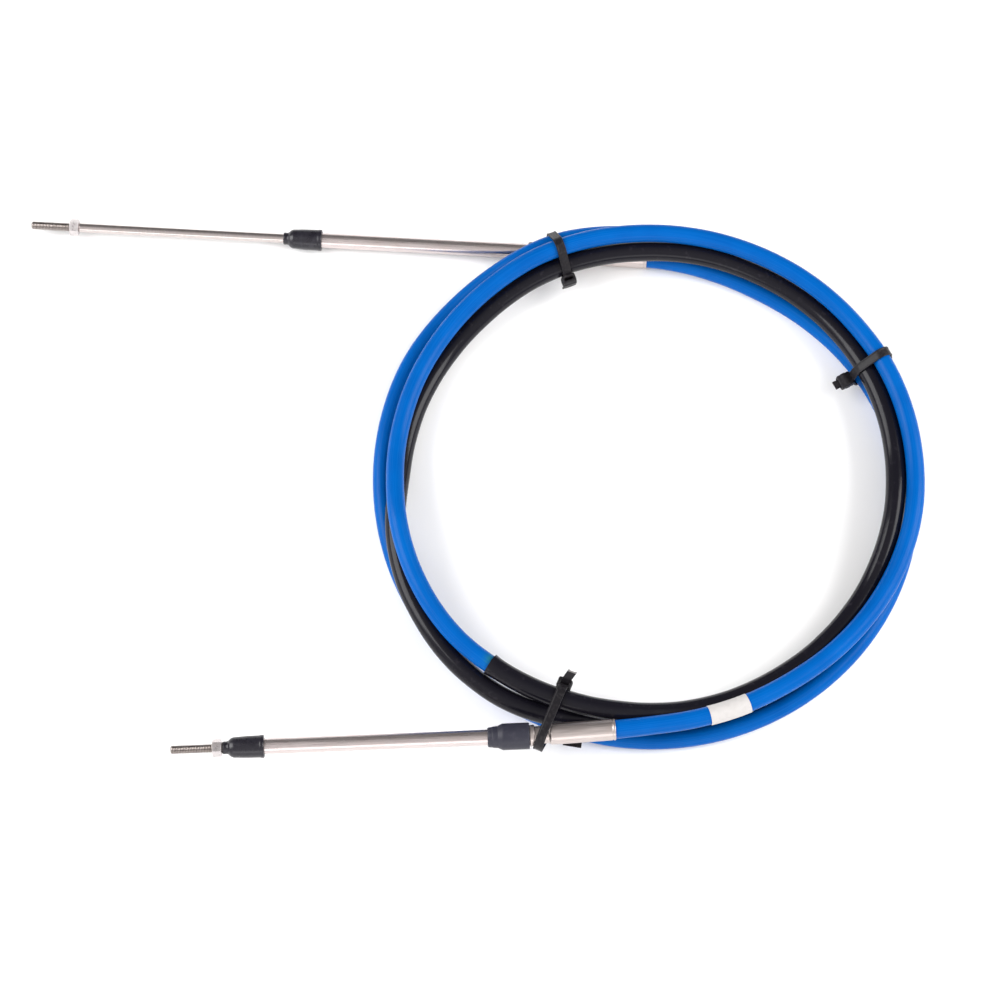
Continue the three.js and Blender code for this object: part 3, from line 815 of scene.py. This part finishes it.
boot_rubber = rubber("moulded_rubber", (0.016, 0.016, 0.028), (0.034, 0.032, 0.046), 0.42, 0.6)
seal_rubber = rubber("seal_rubber", (0.009, 0.008, 0.013), (0.022, 0.020, 0.028), 0.22, 0.36)

nylon, tree, shader = finish_of("moulded_nylon", (0.010, 0.009, 0.011), specular_ior_level=0.2)
place = places(tree)[1]
skin = grain(tree, place, 700, detail=4)
cut = node(tree, "ShaderNodeAttribute", attribute_name="cut").outputs["Fac"]
tone = blended(tree, between(tree, skin, 0.5, 0.75), (0.009, 0.008, 0.010), (0.024, 0.022, 0.024))
tone = blended(tree, cut, tone, (0.20, 0.19, 0.19))
tree.links.new(tone, shader.inputs["Base Color"])
tree.links.new(between(tree, skin, 0.3, 0.7, 0.34, 0.50), shader.inputs["Roughness"])
bumped(tree, shader, [(skin, 0.2, 0.0001)])

# %% Put the finishes on
wearing = {blue: [jacket], black: [sleeve], film: [label], nylon: nylon_pieces}
for kind, key in ((hub_steel, "hub_piece"), (drawn_steel, "tube_piece"), (rod_steel, "rod_piece"),
                  (nut_zinc, "nut_piece"), (boot_rubber, "boot_piece"),
                  (seal_rubber, "seal_piece")):
    wearing[kind] = [end[key] for end in ends.values()]
for material, pieces in wearing.items():
    for piece in pieces:
        piece.data.materials.append(material)
    print(material.name, "on", len(pieces), "pieces")

# %% [markdown]
# ## Floor and light
# A white floor, two soft boxes left and right, a weak fill in front, and a white sky that is
# brightest at the front. The boxes give the two bright bands along the sides of the coil, one each
# side of the cable's middle line. The dark back of the sky gives the steel its dark upper edge.

# %% Floor
floor_mesh = bpy.data.meshes.new("floor")
half = 4.0
floor_mesh.from_pydata([(-half, -half, 0), (half, -half, 0), (half, half, 0), (-half, half, 0)],
                       [], [(0, 1, 2, 3)])
floor = bpy.data.objects.new("floor", floor_mesh)
bpy.context.scene.collection.objects.link(floor)
white, tree, shader = finish_of("white_floor", (0.9, 0.9, 0.9), roughness=0.9)
place = node(tree, "ShaderNodeTexCoord").outputs["Object"]
tone = blended(tree, grain(tree, place, 3), (0.90, 0.90, 0.90), (0.92, 0.92, 0.92))
tree.links.new(tone, shader.inputs["Base Color"])
floor_mesh.materials.append(white)


# %% Lights
def soft_box(name, place, aim_at, size, power):
    """A rectangle of light at a place, turned so that its face looks at a point."""
    light = bpy.data.lights.new(name, "AREA")
    light.shape = "RECTANGLE"
    light.size, light.size_y = size
    light.energy = power
    lamp = bpy.data.objects.new(name, light)
    d = np.array(aim_at, dtype=float) - np.array(place, dtype=float)
    flat = np.hypot(d[0], d[1])
    lamp.location = place
    lamp.rotation_euler = (np.arctan2(flat, -d[2]), 0, np.arctan2(-d[0], d[1]))
    lamp.visible_camera = False
    bpy.context.scene.collection.objects.link(lamp)
    return lamp


box_size, box_power = (1.1, 1.3), 30
soft_box("left_box", (-1.25, 0.1, 0.95), (0, 0, 0.1), box_size, box_power)
soft_box("right_box", (1.35, 0.1, 0.95), (0.05, 0, 0.1), box_size, box_power)
soft_box("front_fill", (0, -1.7, 0.6), (0, 0, 0), (2.0, 0.6), 9)
world = bpy.data.worlds.new("sky")
world.use_nodes = True
sky = world.node_tree
towards = node(sky, "ShaderNodeSeparateXYZ", {
    "Vector": node(sky, "ShaderNodeTexCoord").outputs["Generated"]})
front_to_back = between(sky, towards.outputs["Y"], -0.5, 0.5, 0.95, 0.24)
background = sky.nodes["Background"]
background.inputs["Color"].default_value = (1, 0.98, 0.975, 1)
sky.links.new(front_to_back, background.inputs["Strength"])
bpy.context.scene.world = world
bpy.context.scene.view_settings.view_transform = "Standard"
